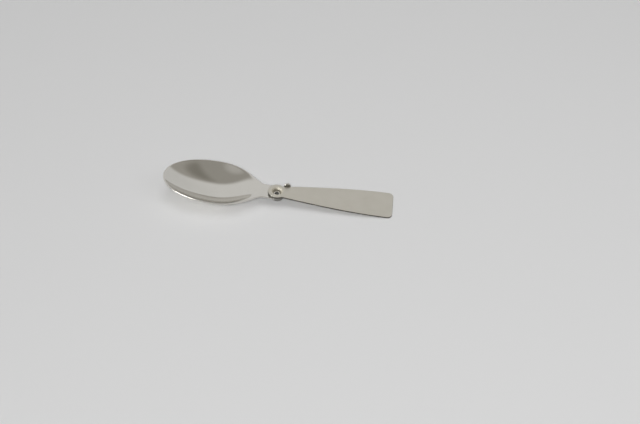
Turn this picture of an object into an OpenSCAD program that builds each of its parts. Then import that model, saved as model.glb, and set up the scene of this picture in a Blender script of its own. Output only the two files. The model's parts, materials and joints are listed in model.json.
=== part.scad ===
// Folding spoon: a pressed steel bowl on a short neck, and a flat flared handle on a hollow rivet.
// The handle's eye is drawn down into a cup that turns in a second cup in the bowl's tongue.
// The handle opens against a bent-up stop lug and swings round to lie over the bowl.
// Everything is drawn flat first: the pivot is at the origin, the tongue's top face at z = 0,
// the bowl towards -X and the open handle along +X.
// The whole spoon is then tipped until bowl and handle end both touch the table.

/* [Handle] */
// Distance from the pivot to the handle's end
handle_len = 70; // [50:0.5:95]
// Width of the handle at its end
handle_end_w = 20.6; // [15:0.1:28]
// Width of the handle where it leaves its round eye
handle_waist_w = 8.7; // [7:0.1:10]
// Diameter of the round eye at the pivot
eye_d = 11; // [10.4:0.1:15]
// Thickness of the handle's sheet
handle_t = 1; // [0.8:0.05:2]
// Radius of the two corners at the handle's end
end_corner_r = 3; // [1:0.1:6]

/* [Bowl] */
// Distance from the pivot to the bowl's tip
bowl_reach = 69.6; // [58:0.1:95]
// Distance from the pivot to the bowl's widest place
bowl_widest = 38; // [32:0.5:45]
// Width of the bowl over its rim
bowl_w = 36.2; // [28:0.1:46]
// Depth of the bowl's hollow below its rim
bowl_depth = 8.5; // [5:0.1:12]
// Width of the flat top of the rim
rim_w = 0.6; // [0.4:0.05:1.2]
// Height of the rim's outer edge, where the pressing has thinned the sheet
rim_edge_h = 0.7; // [0.5:0.05:1.2]
// Thickness of the sheet of the neck, the tongue and the stop lug
sheet_t = 0.95; // [0.7:0.05:1.5]
// Width of the neck, also the diameter of the round tongue at the pivot
neck_w = 11; // [10:0.1:11.2]
// Distance from the pivot to the place where the neck starts to widen into the bowl
neck_len = 8; // [7:0.1:11]

/* [Pivot] */
// Bore of the hollow rivet
rivet_bore_d = 2.2; // [1.4:0.1:2.8]
// Wall of the hollow rivet, also the thickness of its two flanges
rivet_wall = 0.4; // [0.3:0.05:0.5]
// Diameter of the rolled flange in the handle's cup
rolled_flange_d = 4.2; // [3.8:0.1:4.6]
// Diameter of the set head under the tongue
set_head_d = 5.6; // [4.6:0.1:7]
// Diameter of the handle's cup at its lip
cup_d = 7.2; // [6.4:0.1:7.6]
// Diameter of the handle's cup at its floor
cup_floor_d = 4.8; // [4.7:0.1:5.4]
// Depth of both cups
cup_depth = 2.4; // [1:0.1:2.8]
// Wall that each cup is drawn to
cup_wall = 0.8; // [0.6:0.05:0.9]
// Diameter of the friction washer between the cups' floors
washer_d = 6.2; // [4.6:0.1:6.3]
// Thickness of the friction washer, also the gap between tongue and handle
washer_t = 0.4; // [0.2:0.05:0.8]

/* [Stop lug] */
// Width of the stop lug along the handle's edge
lug_w = 4; // [2.5:0.1:6]
// Height of the stop lug above the handle's top face
lug_h = 2; // [1:0.1:4]
// Angle past straight at which the open handle meets the lug
stop_angle = 4; // [0:0.5:8]

/* [Fits] */
// Clearance between the handle and what it turns against
running_gap = 0.05; // [0.02:0.01:0.1]
// Clearance of the pieces that the rivet clamps
seat_gap = 0.02; // [0.01:0.01:0.05]
// Clearance of the eye past the stop lug as the handle swings
swing_gap = 0.25; // [0.1:0.05:0.5]

/* [Hidden] */
$fn = 96;
// Steps along each curved stretch of an outline
curve_steps = 14;
// Length by which a cutter runs past the face that it cuts
cut_over = 1;

eye_r = eye_d / 2;
neck_half = neck_w / 2;
bowl_half = bowl_w / 2;
waist_half = handle_waist_w / 2;
end_half = handle_end_w / 2;

// Levels of the stack at the pivot
handle_z = washer_t + running_gap;
handle_top = handle_z + handle_t;
cup_floor = handle_top - cup_depth;
tongue_floor = -cup_depth;

// Radii of the four nested cup faces at lip and floor: the handle's inside and outside, then the tongue's
lip_step = 0.6;
cup_lip_r = cup_d / 2;
cup_floor_r = cup_floor_d / 2;
cup_out_lip_r = cup_lip_r + lip_step;
cup_out_floor_r = cup_floor_r + cup_wall;
tongue_lip_r = cup_out_lip_r + running_gap;
tongue_floor_r = cup_out_floor_r + running_gap;
tongue_out_lip_r = tongue_lip_r + lip_step;
tongue_out_floor_r = tongue_floor_r + cup_wall;

// Radii of the rivet
bore_r = rivet_bore_d / 2;
shank_r = bore_r + rivet_wall;
rolled_r = rolled_flange_d / 2;
set_head_r = set_head_d / 2;

// Curves of the outlines
function bezier(a, b, c, d, t) =
    a * pow(1 - t, 3) + b * 3 * t * pow(1 - t, 2) + c * 3 * t * t * (1 - t) + d * pow(t, 3);
function curve(a, b, c, d) = [for (i = [0 : curve_steps]) bezier(a, b, c, d, i / curve_steps)];
function mirrored(points) = [for (i = [len(points) - 1 : -1 : 0]) [points[i].x, -points[i].y]];

// The bowl's half outline: a full round tip, then a long sweep that runs out into the neck
tip_fullness = 0.575;
// Shares of the sweep over which the outline stays full, and eases into the neck
sweep_full = 0.6;
neck_ease = 1 / 6;
sweep = bowl_widest - neck_len;
function tip_curve(half, tip) = curve(
    [-tip, 0], [-tip, half * tip_fullness],
    [-bowl_widest - (tip - bowl_widest) * tip_fullness, half], [-bowl_widest, half]);
function sweep_curve(half, end_x, end_half, pull_x, pull_half) = curve(
    [-bowl_widest, half], [-bowl_widest + sweep_full * sweep, half],
    [-pull_x, pull_half], [-end_x, end_half]);
function joined(a, b) = concat(a, [for (i = [1 : len(b) - 1]) b[i]]);

rim_outline = joined(
    tip_curve(bowl_half, bowl_reach),
    sweep_curve(bowl_half, neck_len, neck_half, neck_len + neck_ease * sweep, neck_half));

// The hollow is a surface of revolution about a long axis above the rim, so that each section is a true arc
hollow_half = bowl_half - rim_w;
axis_z = (hollow_half * hollow_half - bowl_depth * bowl_depth) / (2 * bowl_depth);
// Length by which the hollow runs out into the neck, and its fullness there as a share of the neck's half
hollow_run = 0.5;
hollow_nose = 0.75;
hollow_end = neck_len - hollow_run;
hollow_outline = joined(
    tip_curve(hollow_half, bowl_reach - rim_w),
    sweep_curve(hollow_half, hollow_end, 0, hollow_end + neck_ease * sweep, hollow_nose * neck_half));

// The outside is a second one about the same axis, which meets the rim's outer edge at the edge's height
tip_over = 0.12;
// Length by which the outside runs out into the neck, its ease there and its fullness
under_run = 4;
under_ease = 1 / 4;
under_nose = 1.35;
under_end = neck_len - under_run;
under_outline = joined(
    tip_curve(bowl_half, bowl_reach + tip_over),
    sweep_curve(bowl_half, under_end, 0, under_end + under_ease * sweep, under_nose * neck_half));
function revolved(outline, below) = [for (p = outline) [p.x, norm([p.y, axis_z + below])]];
hollow_profile = revolved(hollow_outline, 0);
under_profile = revolved(under_outline, rim_edge_h);
under_depth = max([for (p = under_profile) p.y]) - axis_z;
// Place where the flat sheet of the neck starts, well inside the bowl's sweep
flat_share = 0.3;
sheet_start = neck_len + flat_share * sweep;

// The handle's half width, which flares from inside the eye to the end
blade_start = eye_r / 2;
blade_flare = handle_len - end_corner_r - blade_start;
function blade_half(x) = waist_half + (end_half - waist_half) * sin(blade_turn * (x - blade_start));
blade_turn = 90 / blade_flare;
function blade_slope(x) =
    (end_half - waist_half) * cos(blade_turn * (x - blade_start)) * blade_turn * PI / 180;

// The stop lug stands along the handle's edge, just past the sweep of the eye
lug_from = sqrt(max(0, pow(eye_r + swing_gap, 2) - waist_half * waist_half));
lug_mid = lug_from + lug_w / 2;
lug_inner = blade_half(lug_mid) + running_gap;
lug_turn = atan(blade_slope(lug_mid));
lug_top = handle_top + lug_h;
lug_bend_r = washer_t;
// Length of flat sheet that the lug's strip shares with the ear
lug_lap = 0.6;
lug_roundness = 0.48;
lug_corner_r = lug_roundness * lug_w;

// Lowest reach of the bowl below the pivot when the spoon is tipped by a, and the same for the handle's end
function bowl_drop(a) =
    let (along = sin(a) * cos(stop_angle), across = sqrt(1 - along * along))
    max([for (p = under_profile) p.x * along + p.y * across]) - axis_z * cos(a);
function handle_drop(a) = handle_len * sin(a) - handle_z * cos(a);
// Tilt at which both touch the table, found by halving
steepest_tilt = 30;
tilt_steps = 40;
function level_tilt(low, high, steps) =
    let (mid = (low + high) / 2)
    steps == 0 ? mid
    : handle_drop(mid) < bowl_drop(mid) ? level_tilt(mid, high, steps - 1)
    : level_tilt(low, mid, steps - 1);
tilt = level_tilt(0, steepest_tilt, tilt_steps);
pivot_height = handle_drop(tilt);

// Middle of the spoon's box, so that the origin lies below it
function turned(points, a) = [for (p = points) [p.x * cos(a) - p.y * sin(a), p.x * sin(a) + p.y * cos(a)]];
rim_turned = turned(concat(rim_outline, mirrored(rim_outline)), -stop_angle);
rim_xs = [for (p = rim_turned) p.x];
rim_ys = [for (p = rim_turned) p.y];
middle_x = (min(rim_xs) * cos(tilt) + handle_len * cos(tilt) + handle_top * sin(tilt)) / 2;
middle_y = (min(rim_ys) + max(rim_ys)) / 2;

// Sets a flat-drawn piece on the table
module placed() {
    translate([-middle_x, -middle_y, pivot_height]) rotate([0, tilt, 0]) children();
}

// Turns a piece of the bowl's side past straight, as the lug lets it rest
module bowl_side() {
    placed() rotate([0, 0, -stop_angle]) children();
}

// A solid of revolution about the bowl's long axis
module about_long_axis(profile) {
    ends = [[profile[len(profile) - 1].x, 0], [profile[0].x, 0]];
    translate([0, 0, axis_z]) rotate([0, 90, 0])
        rotate_extrude() polygon([for (p = concat(profile, ends)) [p.y, p.x]]);
}

// Section of a cup's face from its floor up to its lip: a quarter ellipse that stops short of level
lip_turn = 15;
function cup_face(lip_r, floor_r, lip_z, floor_z) = [for (i = [0 : curve_steps])
    let (a = 90 + (lip_turn - 90) * i / curve_steps)
    [floor_r + (lip_r - floor_r) * (1 - sin(a)) / (1 - sin(lip_turn)),
        floor_z + (lip_z - floor_z) * cos(a) / cos(lip_turn)]];

// The solid inside a cup's face, carried on above its lip
module cup(lip_r, floor_r, lip_z, floor_z, rise) {
    above = [[lip_r, lip_z + rise], [0, lip_z + rise]];
    rotate_extrude() polygon(concat([[0, floor_z]], cup_face(lip_r, floor_r, lip_z, floor_z), above));
}

// Outline of the flat blank: the bowl, its neck, the round tongue and the ear that carries the lug
module blank_outline() {
    polygon(concat(rim_outline, [[0, neck_half], [0, -neck_half]], mirrored(rim_outline)));
    circle(r = neck_half);
    rotate(stop_angle) ear_outline();
}

// The ear fans out from the pivot into the flat foot of the lug's strip
module ear_outline() {
    foot = -lug_bend_r - lug_lap / 2;
    foot_line = turned([[-lug_w / 2, foot], [lug_w / 2, foot]], lug_turn);
    polygon(concat([[0, 0]], [for (p = foot_line) [lug_mid, lug_inner] + p]));
}

// Section of the lug's bend, from the ear's flat sheet up to the lug's top
module lug_section() {
    outer_r = lug_bend_r + sheet_t;
    translate([-lug_bend_r, lug_bend_r]) difference() {
        circle(r = outer_r);
        circle(r = lug_bend_r);
        translate([-2 * outer_r, -2 * outer_r]) square([2 * outer_r, 4 * outer_r]);
        translate([-2 * outer_r, 0]) square([4 * outer_r, 2 * outer_r]);
    }
    translate([0, lug_bend_r]) square([sheet_t, lug_top - lug_bend_r]);
    translate([-lug_bend_r - lug_lap, -sheet_t]) square([lug_lap, sheet_t]);
}

// Face of the lug, with two round top corners
module lug_face() {
    side = lug_w / 2 - lug_corner_r;
    translate([-lug_w / 2, -sheet_t]) square([lug_w, lug_top + sheet_t - lug_corner_r]);
    translate([-side, -sheet_t]) square([2 * side, lug_top + sheet_t]);
    for (x = [-side, side]) translate([x, lug_top - lug_corner_r]) circle(r = lug_corner_r);
}

module stop_lug() {
    rotate([0, 0, stop_angle]) translate([lug_mid, lug_inner, 0]) rotate([0, 0, lug_turn]) intersection() {
        translate([-lug_w / 2, 0, 0]) rotate([90, 0, 90]) linear_extrude(lug_w) lug_section();
        translate([0, 2 * sheet_t, 0]) rotate([90, 0, 0]) linear_extrude(4 * sheet_t + lug_lap) lug_face();
    }
}

// Half outline of the handle's blade, from the eye to the rounded end
module blade_outline() {
    flare = [for (i = [0 : curve_steps])
        let (x = blade_start + blade_flare * i / curve_steps) [x, blade_half(x)]];
    corner = [for (a = [90 - 90 / curve_steps : -90 / curve_steps : 0])
        [handle_len - end_corner_r * (1 - cos(a)), end_half - end_corner_r * (1 - sin(a))]];
    half = concat([[0, waist_half]], flare, corner);
    polygon(concat(half, mirrored(half)));
}

// The bowl, neck, tongue and lug, pressed from one sheet, with the cup in the tongue
module bowl() {
    color("silver") bowl_side() difference() {
        union() {
            intersection() {
                translate([0, 0, -under_depth - cut_over])
                    linear_extrude(under_depth + cut_over) blank_outline();
                union() {
                    about_long_axis(under_profile);
                    translate([-sheet_start, -bowl_half, -sheet_t])
                        cube([sheet_start + eye_d + lug_w, bowl_w, sheet_t]);
                }
            }
            stop_lug();
            cup(tongue_out_lip_r, tongue_out_floor_r, -sheet_t, tongue_floor - sheet_t, sheet_t / 2);
        }
        about_long_axis(hollow_profile);
        cup(tongue_lip_r, tongue_floor_r, 0, tongue_floor, cut_over);
        translate([0, 0, tongue_floor - sheet_t - cut_over])
            cylinder(r = shank_r + seat_gap, h = sheet_t + 2 * cut_over);
    }
}

// The flat handle, with the cup that takes the rivet's rolled flange
module handle() {
    color("lightgray") placed() difference() {
        union() {
            translate([0, 0, handle_z]) cylinder(r = eye_r, h = handle_t);
            translate([0, 0, handle_z]) linear_extrude(handle_t) blade_outline();
            cup(cup_out_lip_r, cup_out_floor_r, handle_z, handle_z - cup_depth, handle_t / 2);
        }
        cup(cup_lip_r, cup_floor_r, handle_top, cup_floor, cut_over);
        translate([0, 0, cup_floor - handle_t - cut_over])
            cylinder(r = shank_r + running_gap, h = handle_t + 2 * cut_over);
    }
}

// A flange's section: flat faces and a round rim
module flange_section(outer_r, z) {
    round_r = rivet_wall / 2;
    translate([bore_r + round_r, z]) square([outer_r - bore_r - rivet_wall, rivet_wall]);
    for (x = [bore_r + round_r, outer_r - round_r]) translate([x, z + round_r]) circle(r = round_r);
}

// The hollow rivet: set head below the tongue's cup, rolled flange in the handle's cup
module rivet() {
    flange_z = cup_floor + running_gap;
    head_z = tongue_floor - sheet_t - rivet_wall;
    color("gainsboro") bowl_side() rotate_extrude() {
        translate([bore_r, head_z + rivet_wall / 2]) square([rivet_wall, flange_z - head_z]);
        flange_section(rolled_r, flange_z);
        flange_section(set_head_r, head_z);
    }
}

// The thin washer that the handle rubs on
module friction_washer() {
    color("darkgray") bowl_side() translate([0, 0, tongue_floor]) difference() {
        cylinder(d = washer_d, h = washer_t);
        translate([0, 0, -cut_over]) cylinder(r = shank_r + seat_gap, h = washer_t + 2 * cut_over);
    }
}

bowl();
handle();
rivet();
friction_washer();
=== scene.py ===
"""Folding spoon: smooth pressed-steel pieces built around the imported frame, on a plain pale table."""
import json
import math

import bmesh
import bpy
import numpy as np
from mathutils import Matrix, Vector


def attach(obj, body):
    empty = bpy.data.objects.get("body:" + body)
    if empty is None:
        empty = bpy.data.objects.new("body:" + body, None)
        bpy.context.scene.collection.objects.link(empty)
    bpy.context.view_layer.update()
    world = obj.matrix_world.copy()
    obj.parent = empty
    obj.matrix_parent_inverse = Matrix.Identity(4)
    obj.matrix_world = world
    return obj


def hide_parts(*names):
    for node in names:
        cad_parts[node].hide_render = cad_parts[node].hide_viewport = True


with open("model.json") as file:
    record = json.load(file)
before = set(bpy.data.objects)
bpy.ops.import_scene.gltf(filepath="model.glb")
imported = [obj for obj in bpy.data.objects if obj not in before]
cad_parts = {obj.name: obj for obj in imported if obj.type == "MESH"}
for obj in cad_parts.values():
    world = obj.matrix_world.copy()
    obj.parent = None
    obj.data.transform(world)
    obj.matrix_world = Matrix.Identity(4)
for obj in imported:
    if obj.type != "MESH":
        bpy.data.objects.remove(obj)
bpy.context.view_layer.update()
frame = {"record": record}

# Driving sizes in millimetres, measured flat from the pivot, with the tongue's top face at z = 0
MM = 0.001
HANDLE_LEN = 70.0
HANDLE_END_W = 20.6
HANDLE_WAIST_W = 8.7
EYE_R = 5.5
HANDLE_T = 1.0
END_CORNER_R = 3.0
BOWL_REACH = 69.6
BOWL_WIDEST = 38.0
BOWL_HALF = 18.1
BOWL_DEPTH = 8.5
RIM_W = 0.6
RIM_EDGE_H = 0.7
SHEET_T = 0.95
NECK_HALF = 5.5
NECK_LEN = 8.0
BORE_R = 1.1
RIVET_WALL = 0.4
ROLLED_R = 2.1
SET_HEAD_R = 2.8
CUP_LIP_R = 3.6
CUP_FLOOR_R = 2.4
CUP_DEPTH = 2.4
CUP_WALL = 0.8
LIP_STEP = 0.6
WASHER_R = 3.1
WASHER_T = 0.4
LUG_W = 4.0
LUG_H = 2.0
STOP_ANGLE = math.radians(4.0)
RUNNING_GAP = 0.05
SEAT_GAP = 0.02
SWING_GAP = 0.25

# Radii of the tumbled edges
SHEET_EDGE_R = 0.3
HANDLE_EDGE_R = 0.22

# Levels of the stack at the pivot
SHANK_R = BORE_R + RIVET_WALL
HANDLE_Z = WASHER_T + RUNNING_GAP
HANDLE_TOP = HANDLE_Z + HANDLE_T
CUP_FLOOR = HANDLE_TOP - CUP_DEPTH
TONGUE_FLOOR = -CUP_DEPTH

# The hinge of the frame gives the pivot and the tilt of the spoon on the table
hinge = frame["record"]["behaviour"]["joints"][0]
pivot = Vector(hinge["pos_m"])
tilt = math.atan2(-hinge["axis"][0], -hinge["axis"][2])
HANDLE_FRAME = Matrix.Translation(pivot) @ Matrix.Rotation(tilt, 4, "Y") @ Matrix.Scale(MM, 4)
BOWL_FRAME = HANDLE_FRAME @ Matrix.Rotation(-STOP_ANGLE, 4, "Z")


# Curves and small shape functions
def bezier(a, b, c, d, count):
    t = np.linspace(0.0, 1.0, count)[:, None]
    a, b, c, d = (np.array(p, float) for p in (a, b, c, d))
    return a * (1 - t) ** 3 + b * 3 * t * (1 - t) ** 2 + c * 3 * t ** 2 * (1 - t) + d * t ** 3


def smooth_min(a, b, k):
    """The lower of two heights, with the crease between them rounded over about k."""
    h = np.clip(0.5 + 0.5 * (b - a) / k, 0.0, 1.0)
    return b * (1 - h) + a * h - k * h * (1 - h)


def smooth_max(a, b, k):
    return -smooth_min(-a, -b, k)


def smooth_step(low, high, x):
    t = np.clip((x - low) / (high - low), 0.0, 1.0)
    return t * t * (3 - 2 * t)


# The bowl's half outlines as widths along its length
CURVE_POINTS = 1500
TIP_FULLNESS = 0.575
SWEEP_FULL = 0.6
NECK_EASE = 1 / 6
HOLLOW_RUN = 0.5
HOLLOW_NOSE = 0.75
TIP_OVER = 0.12
UNDER_RUN = 4.0
UNDER_EASE = 1 / 4
UNDER_NOSE = 1.35
SWEEP = BOWL_WIDEST - NECK_LEN


def half_outline(half, tip, end_x, end_half, pull_x, pull_half):
    front = bezier(
        (-tip, 0), (-tip, half * TIP_FULLNESS),
        (-BOWL_WIDEST - (tip - BOWL_WIDEST) * TIP_FULLNESS, half), (-BOWL_WIDEST, half), CURVE_POINTS)
    rear = bezier(
        (-BOWL_WIDEST, half), (-BOWL_WIDEST + SWEEP_FULL * SWEEP, half),
        (-pull_x, pull_half), (-end_x, end_half), CURVE_POINTS)
    return np.vstack([front, rear[1:]])


HOLLOW_HALF = BOWL_HALF - RIM_W
AXIS_Z = (HOLLOW_HALF ** 2 - BOWL_DEPTH ** 2) / (2 * BOWL_DEPTH)
HOLLOW_END = NECK_LEN - HOLLOW_RUN
UNDER_END = NECK_LEN - UNDER_RUN
rim_line = half_outline(
    BOWL_HALF, BOWL_REACH, NECK_LEN, NECK_HALF, NECK_LEN + NECK_EASE * SWEEP, NECK_HALF)
hollow_line = half_outline(
    HOLLOW_HALF, BOWL_REACH - RIM_W, HOLLOW_END, 0,
    HOLLOW_END + NECK_EASE * SWEEP, HOLLOW_NOSE * NECK_HALF)
under_line = half_outline(
    BOWL_HALF, BOWL_REACH + TIP_OVER, UNDER_END, 0,
    UNDER_END + UNDER_EASE * SWEEP, UNDER_NOSE * NECK_HALF)

# Slopes that carry the squared half widths on past the two ends of a hollow
TIP_RUN = 20.0
NECK_RUN = 8.0

# Softness of the creases at the rim, which ease between two places on the way to the neck
RIM_CREASE = 0.25
NECK_CREASE = 1.65
CREASE_RUN = (-36.0, -9.0)
UNDER_RIM_CREASE = 0.03
UNDER_NECK_CREASE = 0.93
UNDER_CREASE_RUN = (-24.0, -12.0)


def squared_half(line, x):
    inside = np.interp(x, line[:, 0], line[:, 1]) ** 2
    before = np.minimum(x - line[0, 0], 0.0) * TIP_RUN
    after = np.minimum(line[-1, 0] - x, 0.0) * NECK_RUN
    return inside + before + after


def blank_half(x):
    """Half width of the bowl's blank: the bowl, the neck and the round tongue."""
    tongue = np.sqrt(np.maximum(NECK_HALF ** 2 - np.maximum(x, 0.0) ** 2, 0.0))
    return np.where(x < -NECK_LEN, np.interp(x, rim_line[:, 0], rim_line[:, 1]), tongue)


def bowl_top(x, y):
    hollow = AXIS_Z - np.sqrt(squared_half(hollow_line, x) + AXIS_Z ** 2 - y ** 2)
    softness = RIM_CREASE + (NECK_CREASE - RIM_CREASE) * smooth_step(*CREASE_RUN, x)
    return smooth_min(hollow, 0.0 * x, softness)


def bowl_under(x, y):
    low = AXIS_Z - np.sqrt(squared_half(under_line, x) + (AXIS_Z + RIM_EDGE_H) ** 2 - y ** 2)
    softness = UNDER_RIM_CREASE + (UNDER_NECK_CREASE - UNDER_RIM_CREASE) * smooth_step(*UNDER_CREASE_RUN, x)
    return smooth_min(low, 0.0 * x - SHEET_T, softness)


# Meshes, with the distances below which points are merged and slivers taken out
EDGE_STEPS = 6
TURN_SEGMENTS = 96
TINY = 1e-6
MERGE = 1e-4
SLIVER = 1e-5


def eased(count):
    """Fractions from 0 to 1 that crowd together at both ends."""
    return (1 - np.cos(np.linspace(0.0, math.pi, count))) / 2


def lathe_mesh(profile):
    """A closed solid turned about Z from a closed profile of (radius, height)."""
    bm = bmesh.new()
    rings = []
    for k in range(TURN_SEGMENTS):
        a = 2 * math.pi * k / TURN_SEGMENTS
        rings.append([bm.verts.new((r * math.cos(a), r * math.sin(a), z)) for r, z in profile])
    count = len(profile)
    for k in range(TURN_SEGMENTS):
        here, there = rings[k], rings[(k + 1) % TURN_SEGMENTS]
        for i in range(count):
            j = (i + 1) % count
            bm.faces.new((here[i], there[i], there[j], here[j]))
    bmesh.ops.recalc_face_normals(bm, faces=bm.faces)
    return bm


def offset_loop(loop, distance):
    """A closed loop of points moved inwards along its own normals."""
    along = np.roll(loop, -1, axis=0) - np.roll(loop, 1, axis=0)
    along /= np.linalg.norm(along, axis=1)[:, None]
    inwards = np.stack([-along[:, 1], along[:, 0]], 1)
    return loop + inwards * distance


def skin(bm, rows):
    """Joins rings of points, each closed, into one band of faces and returns the rings' vertices."""
    rings = [[bm.verts.new(p) for p in row] for row in rows]
    for low, high in zip(rings[:-1], rings[1:]):
        count = len(low)
        for i in range(count):
            j = (i + 1) % count
            bm.faces.new((low[i], low[j], high[j], high[i]))
    return rings


def sheet_mesh(x_from, x_to, half, top, under, edge_r, stations, across):
    """A closed sheet over an outline of half widths, with a rounded edge all round.

    An end with no width closes in a point, and an end with width is cut off square.
    """
    xs = x_from + (x_to - x_from) * eased(stations)
    side = np.stack([xs, half(xs)], 1)
    square = [end[1] > TINY for end in (side[0], side[-1])]
    before = side[0] if square[0] else side[1] * [1.0, -1.0]
    after = side[-1] if square[1] else side[-2] * [1.0, -1.0]
    along = np.vstack([side[1:], after]) - np.vstack([before, side[:-1]])
    inwards = np.stack([along[:, 1], -along[:, 0]], 1) / np.linalg.norm(along, axis=1)[:, None]
    inset = side + edge_r * inwards
    turns = np.linspace(0.0, math.pi / 2, EDGE_STEPS + 1)[1:]
    far_edge = [(inset - edge_r * math.sin(a) * inwards, edge_r * (1 - math.cos(a))) for a in turns]
    near_edge = [(plan * [1.0, -1.0], drop) for plan, drop in far_edge[::-1]]
    middle = [(inset * [1.0, v], 0.0) for v in 2 * eased(across) - 1]
    lines = near_edge + middle + far_edge
    upper = [np.column_stack([plan, top(*plan.T) - drop]) for plan, drop in lines]
    lower = [np.column_stack([plan, under(*plan.T) + drop]) for plan, drop in lines]
    bm = bmesh.new()
    rings = skin(bm, np.stack(upper + lower[::-1], 1))
    for ring, cut_square in zip((rings[0], rings[-1]), square):
        if cut_square:
            bm.faces.new(ring)
    bmesh.ops.remove_doubles(bm, verts=bm.verts, dist=MERGE)
    bmesh.ops.dissolve_degenerate(bm, edges=bm.edges, dist=SLIVER)
    bmesh.ops.recalc_face_normals(bm, faces=bm.faces)
    return bm


def ring_edges(bm, ring):
    return [bm.edges.get((ring[i], ring[(i + 1) % len(ring)])) for i in range(len(ring))]


def plate_mesh(outline, low, high, edge_r, hole_profile):
    """A flat plate with a rounded edge and a turned hole, whose profile runs from the top face down."""
    bm = bmesh.new()
    turns = np.linspace(0.0, math.pi / 2, EDGE_STEPS)
    under_edge = [(edge_r * (1 - math.sin(a)), low + edge_r * (1 - math.cos(a))) for a in turns]
    upper_edge = [(edge_r * (1 - math.cos(a)), high - edge_r * (1 - math.sin(a))) for a in turns]
    edge = [(2 * edge_r, low)] + under_edge + upper_edge + [(2 * edge_r, high)]
    outer = skin(bm, [[(*p, z) for p in offset_loop(outline, d)] for d, z in edge])
    angles = np.linspace(0.0, 2 * math.pi, TURN_SEGMENTS, endpoint=False)
    inner = skin(bm, [[(r * math.cos(a), r * math.sin(a), z) for a in angles] for r, z in hole_profile])
    for rim, hole, up in ((outer[-1], inner[0], 1.0), (outer[0], inner[-1], -1.0)):
        bmesh.ops.triangle_fill(
            bm, edges=ring_edges(bm, rim) + ring_edges(bm, hole), use_beauty=True, normal=(0.0, 0.0, up))
    bmesh.ops.recalc_face_normals(bm, faces=bm.faces)
    return bm


def arc(cx, cz, r, start, end, steps=8):
    """Points of an arc in a profile, angles in degrees."""
    angles = np.radians(np.linspace(start, end, steps + 1))
    return [(cx + r * math.cos(a), cz + r * math.sin(a)) for a in angles]


def piece(name, bm, placing, material, body, slot, *nodes):
    """Turns a mesh into a named piece that rides on a body and stands for its nodes."""
    if bm.calc_volume(signed=True) < 0.0:
        bmesh.ops.reverse_faces(bm, faces=bm.faces)
    bmesh.ops.transform(bm, matrix=placing, verts=bm.verts)
    mesh = bpy.data.meshes.new(name)
    bm.to_mesh(mesh)
    bm.free()
    mesh.shade_smooth()
    obj = bpy.data.objects.new(name, mesh)
    bpy.context.scene.collection.objects.link(obj)
    mesh.materials.append(material)
    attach(obj, body)
    if nodes:
        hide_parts(*nodes)
    return obj


def cut(obj, bm, placing):
    """Takes a closed mesh out of a piece."""
    bmesh.ops.remove_doubles(bm, verts=bm.verts, dist=MERGE)
    bmesh.ops.dissolve_degenerate(bm, edges=bm.edges, dist=SLIVER)
    bmesh.ops.transform(bm, matrix=placing, verts=bm.verts)
    mesh = bpy.data.meshes.new("cutter")
    bm.to_mesh(mesh)
    bm.free()
    cutter = bpy.data.objects.new("cutter", mesh)
    bpy.context.scene.collection.objects.link(cutter)
    modifier = obj.modifiers.new("cut", "BOOLEAN")
    modifier.operation = "DIFFERENCE"
    modifier.solver = "EXACT"
    modifier.object = cutter
    bpy.context.view_layer.update()
    solid = bpy.data.meshes.new_from_object(obj.evaluated_get(bpy.context.evaluated_depsgraph_get()))
    obj.modifiers.clear()
    obj.data = solid
    bpy.data.objects.remove(cutter)


# Materials, with the noise of the cloudy polish and of the fine grain
CLOUDS = {"Scale": 160.0, "Detail": 4.0, "Roughness": 0.55}
GRAIN = {"Detail": 3.0, "Roughness": 0.6}
# Noise levels between which the polish goes from its smoothest to its roughest
POLISH_RANGE = (0.15, 0.4)
# How far a face points up where the painted shade on upright faces is full
SHADE_FULL_FACING = 0.25
# Depth of the grain in metres
RELIEF = 0.0001


def node_maker(material):
    nodes, links = material.node_tree.nodes, material.node_tree.links

    def make(kind, inputs=None, **settings):
        node = nodes.new(kind)
        for key, value in settings.items():
            setattr(node, key, value)
        for key, value in (inputs or {}).items():
            if isinstance(value, bpy.types.NodeSocket):
                links.new(value, node.inputs[key])
            else:
                node.inputs[key].default_value = value
        return node

    return make


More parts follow.
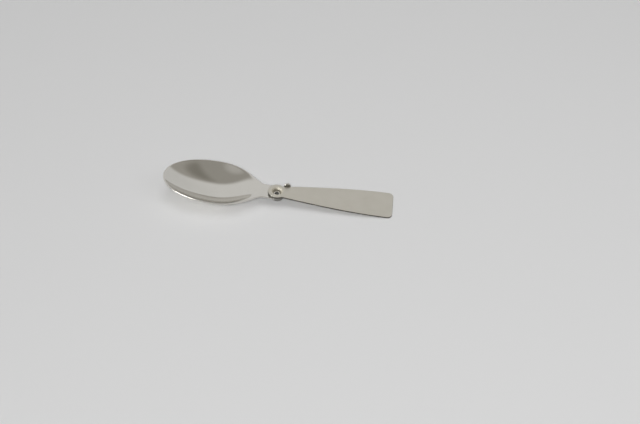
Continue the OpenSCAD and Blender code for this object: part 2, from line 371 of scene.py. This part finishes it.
def steel(
        name, colour, shade, rough, rough_spread, grain, grain_scale, bump,
        edge=1.0, shade_reach=0.7, drawn_r=0.0, drawn_matt=0.0, painted_pivot_scale=1.0):
    """Steel with cloudy polish and fine directional grain.

    Its upright faces are darkened by a painted shade. Round the pivot, where it is drawn and rubs, it is
    more matt, and its colour there is scaled: down for a painted shade, up for a painted light.
    """
    material = bpy.data.materials.new(name)
    material.use_nodes = True
    make = node_maker(material)
    shader = material.node_tree.nodes["Principled BSDF"]
    place = make("ShaderNodeTexCoord").outputs["Object"]
    clouds = make("ShaderNodeTexNoise", {"Vector": place, **CLOUDS})
    stretched = make("ShaderNodeMapping", {"Vector": place, "Scale": grain})
    lines = make(
        "ShaderNodeTexNoise",
        {"Vector": stretched.outputs["Vector"], "Scale": grain_scale, **GRAIN})
    tint = make("ShaderNodeMix", {"Factor": clouds.outputs["Fac"]}, data_type="RGBA")
    tint.inputs["A"].default_value = (*colour, 1.0)
    tint.inputs["B"].default_value = (*shade, 1.0)
    facing = make("ShaderNodeSeparateXYZ", {"Vector": make("ShaderNodeTexCoord").outputs["Normal"]})
    level = make("ShaderNodeMath", {0: facing.outputs["Z"]}, operation="ABSOLUTE")
    reach = make("ShaderNodeVectorMath", {0: place, 1: pivot}, operation="DISTANCE")
    drawn = make("ShaderNodeMath", {0: reach.outputs["Value"], 1: drawn_r * MM}, operation="LESS_THAN")
    # Drawn faces round the pivot are kept out of the painted shade on upright faces
    shade_free = make(
        "ShaderNodeMath",
        {0: level.outputs["Value"], 1: drawn.outputs["Value"]}, operation="MAXIMUM")
    # Painted shade: faces darken the more upright they stand, down to the factor edge
    upright_shade = make(
        "ShaderNodeMapRange",
        {"Value": shade_free.outputs["Value"], "From Min": SHADE_FULL_FACING, "From Max": shade_reach,
         "To Min": edge, "To Max": 1.0})
    # Round the pivot the colour is scaled: down for a painted shade, up for a painted light
    painted_pivot_tone = make(
        "ShaderNodeMapRange",
        {"Value": drawn.outputs["Value"], "To Min": 1.0, "To Max": painted_pivot_scale})
    painted_shading = make(
        "ShaderNodeMath",
        {0: upright_shade.outputs["Result"], 1: painted_pivot_tone.outputs["Result"]}, operation="MULTIPLY")
    toned = make(
        "ShaderNodeVectorMath",
        {0: tint.outputs["Result"], "Scale": painted_shading.outputs["Value"]}, operation="SCALE")
    both = make("ShaderNodeMath", {0: clouds.outputs["Fac"], 1: lines.outputs["Fac"]}, operation="MULTIPLY")
    polish = make(
        "ShaderNodeMapRange",
        {"Value": both.outputs["Value"], "From Min": POLISH_RANGE[0], "From Max": POLISH_RANGE[1],
         "To Min": rough, "To Max": rough + rough_spread})
    matt = make(
        "ShaderNodeMath",
        {0: drawn.outputs["Value"], 1: drawn_matt, 2: polish.outputs["Result"]}, operation="MULTIPLY_ADD")
    relief = make("ShaderNodeBump", {"Height": lines.outputs["Fac"], "Strength": bump, "Distance": RELIEF})
    links = material.node_tree.links
    links.new(toned.outputs["Vector"], shader.inputs["Base Color"])
    links.new(matt.outputs["Value"], shader.inputs["Roughness"])
    links.new(relief.outputs["Normal"], shader.inputs["Normal"])
    shader.inputs["Metallic"].default_value = 1.0
    return material


POLISHED_TONE = (0.700, 0.685, 0.652)
POLISHED_SHADE = (0.667, 0.652, 0.619)
# Round the pivot a painted shade darkens the tongue, where the shadowed gap under the handle's eye lies
polished = steel(
    "polished_steel", POLISHED_TONE, POLISHED_SHADE,
    rough=0.07, rough_spread=0.06, grain=(1.0, 14.0, 14.0), grain_scale=700.0, bump=0.02,
    drawn_r=NECK_HALF + RUNNING_GAP, drawn_matt=0.25, painted_pivot_scale=0.42)
# The handle's upright edges carry a painted shade, which also makes the dark crescent at the eye's edge; its
# cup carries a painted light
satin = steel(
    "satin_steel", (0.645, 0.619, 0.563), (0.608, 0.583, 0.520),
    rough=0.34, rough_spread=0.12, grain=(1.0, 22.0, 22.0), grain_scale=500.0, bump=0.10,
    edge=0.18, shade_reach=0.93, drawn_r=CUP_LIP_R + LIP_STEP, drawn_matt=0.3, painted_pivot_scale=1.2)
# A painted shade darkens the lug's upright faces
lug_steel = steel(
    "lug_steel", POLISHED_TONE, POLISHED_SHADE,
    rough=0.30, rough_spread=0.10, grain=(1.0, 14.0, 14.0), grain_scale=700.0, bump=0.05,
    edge=0.6, shade_reach=0.98)
# A painted shade darkens the rivet's upright faces
riveted = steel(
    "rivet_steel", (0.660, 0.649, 0.616), (0.616, 0.605, 0.572),
    rough=0.20, rough_spread=0.10, grain=(1.0, 1.0, 1.0), grain_scale=1500.0, bump=0.05, edge=0.4)
dull = steel(
    "washer_steel", (0.420, 0.410, 0.390), (0.360, 0.350, 0.330),
    rough=0.40, rough_spread=0.15, grain=(1.0, 1.0, 1.0), grain_scale=1500.0, bump=0.10)


# The faces of the nested cups at the pivot, and what runs through their floors
SOFT = 0.1
LIP_FLAT = 2 * SOFT
FLOOR_TURN_R = 3 * SOFT
HOLE_R = SHANK_R + RUNNING_GAP
SEAT_R = SHANK_R + SEAT_GAP
CUP_OUT_LIP_R = CUP_LIP_R + LIP_STEP
CUP_OUT_FLOOR_R = CUP_FLOOR_R + CUP_WALL
TONGUE_LIP_R = CUP_OUT_LIP_R + RUNNING_GAP
TONGUE_FLOOR_R = CUP_OUT_FLOOR_R + RUNNING_GAP
TONGUE_OUT_LIP_R = TONGUE_LIP_R + LIP_STEP
TONGUE_OUT_FLOOR_R = TONGUE_FLOOR_R + CUP_WALL


def cup_face(lip_r, floor_r, lip_z, floor_z, steps=26):
    """Section of a cup's face from its floor up to its lip: a quarter ellipse."""
    angles = np.linspace(math.pi / 2, 0.0, steps)
    return [
        (lip_r + (floor_r - lip_r) * math.sin(a), floor_z + (lip_z - floor_z) * math.cos(a)) for a in angles]


# The bowl, with its neck and tongue, and the cup drawn into the tongue
bowl = piece(
    "bowl_shell",
    sheet_mesh(
        -BOWL_REACH, NECK_HALF, blank_half, bowl_top, bowl_under, SHEET_EDGE_R, stations=170, across=72),
    BOWL_FRAME, polished, "bowl_side", "polished_steel", "bowl")
RING_R = NECK_HALF - SHEET_EDGE_R
RING_PROUD = 0.01
RING_HOLE_R = TONGUE_LIP_R + SOFT
CUT_FROM = -2 * SHEET_T
CUT_TO = SHEET_T
cut(
    bowl,
    lathe_mesh([(0.0, CUT_FROM), (RING_HOLE_R, CUT_FROM), (RING_HOLE_R, CUT_TO), (0.0, CUT_TO)]),
    BOWL_FRAME)
tongue_under = TONGUE_FLOOR - SHEET_T
tongue_profile = (
    [(RING_R, RING_PROUD), (TONGUE_LIP_R + LIP_FLAT, RING_PROUD)]
    + cup_face(TONGUE_LIP_R, TONGUE_FLOOR_R, RING_PROUD, TONGUE_FLOOR)[::-1]
    + [(SEAT_R, TONGUE_FLOOR), (SEAT_R, tongue_under)]
    + arc(TONGUE_OUT_FLOOR_R - FLOOR_TURN_R, tongue_under + FLOOR_TURN_R, FLOOR_TURN_R, 270, 360)
    + cup_face(TONGUE_OUT_LIP_R, TONGUE_OUT_FLOOR_R, -SHEET_T - RING_PROUD, tongue_under + FLOOR_TURN_R)[1:]
    + [(RING_R, -SHEET_T - RING_PROUD)])
piece(
    "tongue_cup", lathe_mesh(tongue_profile), BOWL_FRAME, polished, "bowl_side", "polished_steel")

# The handle's flare, and the stop lug along its edge
WAIST_HALF = HANDLE_WAIST_W / 2
END_HALF = HANDLE_END_W / 2
BLADE_START = EYE_R / 2
BLADE_FLARE = HANDLE_LEN - END_CORNER_R - BLADE_START
EYE_FILLET = 0.5
# Places inside the eye from which the blade and its fillet come in
BLADE_FROM = -0.5
FILLET_FROM = 1.0
SIDE_STEPS = 150
CORNER_STEPS = 14


def blade_half(x):
    turn = np.clip((x - BLADE_START) / BLADE_FLARE, -1.0, 1.0) * math.pi / 2
    return WAIST_HALF + (END_HALF - WAIST_HALF) * np.sin(turn)


def handle_outline():
    """The handle's outline, run anticlockwise from its end: the far side, the eye, the near side."""
    crowded = 1 - np.cos(np.linspace(0.0, math.pi / 2, SIDE_STEPS))
    x = -EYE_R + (HANDLE_LEN - END_CORNER_R + EYE_R) * crowded
    eye = np.sqrt(np.maximum(EYE_R ** 2 - x ** 2, 0.0))
    blade = blade_half(x) * smooth_step(BLADE_FROM, BLADE_START, x)
    fillet = EYE_FILLET * smooth_step(FILLET_FROM, BLADE_START, x) + TINY
    side = np.stack([x, smooth_max(eye, blade, fillet)], 1)
    turns = np.linspace(math.pi / 2, 0.0, CORNER_STEPS)[1:]
    corner = np.stack([
        HANDLE_LEN - END_CORNER_R + END_CORNER_R * np.cos(turns),
        END_HALF - END_CORNER_R + END_CORNER_R * np.sin(turns)], 1)
    half = np.vstack([side, corner])
    return np.vstack([half[::-1], (half * [1.0, -1.0])[1:]])


cup_under = CUP_FLOOR - HANDLE_T
cup_profile = (
    [(CUP_LIP_R + LIP_FLAT, HANDLE_TOP)]
    + cup_face(CUP_LIP_R, CUP_FLOOR_R, HANDLE_TOP, CUP_FLOOR + SOFT)[::-1]
    + [(CUP_FLOOR_R - SOFT, CUP_FLOOR), (HOLE_R + SOFT, CUP_FLOOR), (HOLE_R, CUP_FLOOR - SOFT),
       (HOLE_R, cup_under + SOFT), (HOLE_R + SOFT, cup_under)]
    + arc(CUP_OUT_FLOOR_R - FLOOR_TURN_R, cup_under + FLOOR_TURN_R, FLOOR_TURN_R, 270, 360)
    + cup_face(CUP_OUT_LIP_R, CUP_OUT_FLOOR_R, HANDLE_Z, cup_under + FLOOR_TURN_R)[1:]
    + [(CUP_OUT_LIP_R + LIP_FLAT, HANDLE_Z)])
piece(
    "handle_plate",
    plate_mesh(handle_outline(), HANDLE_Z, HANDLE_TOP, HANDLE_EDGE_R, cup_profile),
    HANDLE_FRAME, satin, "handle_side", "satin_steel", "handle")

LUG_FROM = math.sqrt((EYE_R + SWING_GAP) ** 2 - WAIST_HALF ** 2)
LUG_MID = LUG_FROM + LUG_W / 2
LUG_INNER = float(blade_half(LUG_MID)) + RUNNING_GAP
SMALL = 0.01
LUG_TURN = math.atan2(float(blade_half(LUG_MID + SMALL) - blade_half(LUG_MID - SMALL)), 2 * SMALL)
LUG_TOP = HANDLE_TOP + LUG_H
LUG_BEND_R = WASHER_T
LUG_EAR = 3.2
EAR_ROOT = 0.6
LUG_ROUNDNESS = 0.48
LUG_ROUND = LUG_ROUNDNESS * LUG_W
LUG_MID_R = LUG_BEND_R + SHEET_T / 2
LUG_BENT = LUG_EAR + LUG_MID_R * math.pi / 2
LUG_RUN = LUG_BENT + LUG_TOP - LUG_BEND_R


def lug_half(run):
    """Half width of the lug's strip: it widens from the tongue and ends in a round top."""
    ear = EAR_ROOT + (1 - EAR_ROOT) * np.minimum(run / LUG_EAR, 1.0)
    over = np.clip((run - LUG_RUN + LUG_ROUND) / LUG_ROUND, 0.0, 1.0)
    return LUG_W / 2 * ear * np.sqrt(1 - over ** 2)


def lug_top(x, y):
    return 0.0 * x + SHEET_T / 2


def lug_under(x, y):
    return 0.0 * x - SHEET_T / 2


def bend_lug(bm):
    """Bends the flat strip up and stands it along the handle's edge."""
    along = Vector((math.cos(LUG_TURN), math.sin(LUG_TURN), 0.0))
    outwards = Vector((-along.y, along.x, 0.0))
    for vert in bm.verts:
        run, side, lift = vert.co
        turn = min(max(run - LUG_EAR, 0.0) / LUG_MID_R, math.pi / 2)
        out = -LUG_BEND_R + min(run - LUG_EAR, 0.0) + (LUG_MID_R - lift) * math.sin(turn)
        up = LUG_BEND_R - (LUG_MID_R - lift) * math.cos(turn) + max(run - LUG_BENT, 0.0)
        vert.co = Vector((LUG_MID, LUG_INNER, up)) + side * along + out * outwards
    bmesh.ops.recalc_face_normals(bm, faces=bm.faces)
    return bm


piece(
    "stop_lug",
    bend_lug(sheet_mesh(
        0.0, LUG_RUN, lug_half, lug_top, lug_under, SHEET_EDGE_R, stations=60, across=24)),
    HANDLE_FRAME, lug_steel, "bowl_side", "polished_steel")

# The hollow rivet: a set head below the tongue's cup, a rolled flange in the handle's cup
ROUND_R = RIVET_WALL / 2
FLANGE_Z = CUP_FLOOR + RUNNING_GAP
HEAD_Z = tongue_under - RIVET_WALL
ROLL_MID = (BORE_R + ROLLED_R) / 2
ROLL_HALF = (ROLLED_R - BORE_R) / 2
ROLL_FULLNESS = 0.8
ROLL_POINTS = 21
roll = []
for roll_angle in np.linspace(0.0, math.pi, ROLL_POINTS):
    swing, rise = math.cos(roll_angle), math.sin(roll_angle)
    roll.append((
        ROLL_MID + ROLL_HALF * math.copysign(abs(swing) ** ROLL_FULLNESS, swing),
        FLANGE_Z + RIVET_WALL * rise ** ROLL_FULLNESS))
rivet_profile = (
    arc(BORE_R + ROUND_R, HEAD_Z + ROUND_R, ROUND_R, 180, 270)
    + arc(SET_HEAD_R - ROUND_R, HEAD_Z + ROUND_R, ROUND_R, 270, 450)
    + [(SHANK_R, HEAD_Z + RIVET_WALL), (SHANK_R, FLANGE_Z)] + roll)
piece(
    "hollow_rivet", lathe_mesh(rivet_profile), BOWL_FRAME, riveted, "bowl_side", "rivet_steel", "rivet")

# The washer that the handle rubs on
washer_top = TONGUE_FLOOR + WASHER_T
washer_profile = [
    (SEAT_R, TONGUE_FLOOR + SOFT), (SEAT_R + SOFT, TONGUE_FLOOR),
    (WASHER_R - SOFT, TONGUE_FLOOR), (WASHER_R, TONGUE_FLOOR + SOFT),
    (WASHER_R, washer_top - SOFT), (WASHER_R - SOFT, washer_top),
    (SEAT_R + SOFT, washer_top), (SEAT_R, washer_top - SOFT)]
piece(
    "friction_ring", lathe_mesh(washer_profile), BOWL_FRAME, dull,
    "bowl_side", "washer_steel", "friction_washer")

# Camera at the photograph's angle, with the image taken as 640 by 424
IMAGE_W = 640.0
FOCAL_PIXELS = 1400.0
SENSOR_W = 36.0
CAMERA_AZIMUTH = 4.88
CAMERA_ELEVATION = 45.56
CAMERA_DISTANCE = 0.8382
CAMERA_TARGET = Vector((0.02631, -0.01082, 0.0))


def direction(azimuth, elevation):
    """Unit vector towards a place in the studio: azimuth 0 is the near side, 90 the right."""
    a, e = math.radians(azimuth), math.radians(elevation)
    return math.sin(a) * math.cos(e), -math.cos(a) * math.cos(e), math.sin(e)


def add_camera():
    data = bpy.data.cameras.new("camera")
    data.sensor_width = SENSOR_W
    data.lens = FOCAL_PIXELS / IMAGE_W * SENSOR_W
    data.clip_start = 0.01
    camera = bpy.data.objects.new("camera", data)
    back = Vector(direction(CAMERA_AZIMUTH, CAMERA_ELEVATION))
    camera.location = CAMERA_TARGET + CAMERA_DISTANCE * back
    camera.rotation_euler = back.to_track_quat("Z", "Y").to_euler()
    bpy.context.scene.collection.objects.link(camera)
    bpy.context.scene.camera = camera


# The table's half width in metres, its grey and its roughness
TABLE_HALF = 3.0
TABLE_TONE = 0.74
TABLE_ROUGH = 0.9


def add_floor():
    bm = bmesh.new()
    bmesh.ops.create_grid(bm, x_segments=1, y_segments=1, size=TABLE_HALF)
    mesh = bpy.data.meshes.new("floor")
    bm.to_mesh(mesh)
    bm.free()
    floor = bpy.data.objects.new("floor", mesh)
    bpy.context.scene.collection.objects.link(floor)
    material = bpy.data.materials.new("pale_table")
    material.use_nodes = True
    shader = material.node_tree.nodes["Principled BSDF"]
    shader.inputs["Base Color"].default_value = (TABLE_TONE, TABLE_TONE, TABLE_TONE, 1.0)
    shader.inputs["Roughness"].default_value = TABLE_ROUGH
    mesh.materials.append(material)


# The studio that the metal mirrors: walls that are light behind and dim at the right, a darker room in
# front, and a window at the left
LIGHT_WALL = (0.727, 0.723, 0.709)
LOW_WALL = (0.655, 0.655, 0.645)
ROOM_TONE = (0.395, 0.382, 0.350)
# Sines of the heights between which the low wall passes into the light one
WALL_RISE = (0.02, 0.35)
# Azimuth, elevation, half angle and softness of each round zone
DIM_END = (128.0, 22.0, 32.0, 26.0)
ROOM = (3.8, 28.9, 74.9, 6.5)
ROOM_PATCHES = [
    ((0.0, 68.2, 28.9, 9.3), (0.256, 0.244, 0.216)),
    ((-68.6, 13.5, 80.0, 5.5), (0.365, 0.353, 0.323)),
    ((-41.4, 36.9, 12.8, 12.3), (0.50, 0.49, 0.464)),
    ((45.0, 10.0, 22.0, 8.0), (0.71, 0.70, 0.68)),
]
WINDOW = (-43.0, 6.0, 18.0, 6.0)
WINDOW_LIGHT = (14.6, 14.6, 14.2)


def add_world():
    """Lights the metal only, so that the table keeps the soft shadow that the lamps give."""
    world = bpy.data.worlds.new("studio")
    bpy.context.scene.world = world
    world.use_nodes = True
    world.cycles_visibility.diffuse = False
    make = node_maker(world)
    towards = make("ShaderNodeTexCoord").outputs["Generated"]

    def zone(azimuth, elevation, half, soft):
        facing = make(
            "ShaderNodeVectorMath", {0: towards, 1: direction(azimuth, elevation)}, operation="DOT_PRODUCT")
        outer, inner = (math.cos(math.radians(angle)) for angle in (half + soft, half - soft))
        return make(
            "ShaderNodeMapRange", {"Value": facing.outputs["Value"], "From Min": outer, "From Max": inner},
            interpolation_type="SMOOTHSTEP").outputs["Result"]

    def painted(under, over, factor):
        colours = [c if isinstance(c, bpy.types.NodeSocket) else (*c, 1.0) for c in (under, over)]
        inputs = {"Factor": factor, "A": colours[0], "B": colours[1]}
        return make("ShaderNodeMix", inputs, data_type="RGBA").outputs["Result"]

    height = make("ShaderNodeSeparateXYZ", {"Vector": towards}).outputs["Z"]
    rise = make(
        "ShaderNodeMapRange", {"Value": height, "From Min": WALL_RISE[0], "From Max": WALL_RISE[1]},
        interpolation_type="SMOOTHSTEP").outputs["Result"]
    walls = painted(painted(LOW_WALL, LIGHT_WALL, rise), LOW_WALL, zone(*DIM_END))
    room = ROOM_TONE
    for place, shade in ROOM_PATCHES:
        room = painted(room, shade, zone(*place))
    colour = painted(painted(walls, room, zone(*ROOM)), WINDOW_LIGHT, zone(*WINDOW))
    background = world.node_tree.nodes["Background"]
    world.node_tree.links.new(colour, background.inputs["Color"])
    background.inputs["Strength"].default_value = 1.0


def add_lamp(name, azimuth, elevation, distance, size, watts):
    """A soft lamp for the table, which the metal does not mirror."""
    data = bpy.data.lights.new(name, "AREA")
    data.size = size
    data.energy = watts
    lamp = bpy.data.objects.new(name, data)
    towards = Vector(direction(azimuth, elevation))
    lamp.location = towards * distance
    lamp.rotation_euler = towards.to_track_quat("Z", "Y").to_euler()
    lamp.visible_glossy = False
    bpy.context.scene.collection.objects.link(lamp)


add_camera()
add_floor()
add_world()
add_lamp("fill", CAMERA_AZIMUTH, CAMERA_ELEVATION, distance=2.0, size=0.35, watts=22.8)
add_lamp("side", 78.0, 40.0, distance=1.3, size=0.7, watts=2.2)
add_lamp("overhead", 200.0, 80.0, distance=1.3, size=1.3, watts=7.5)
bpy.context.scene.view_settings.view_transform = "Standard"
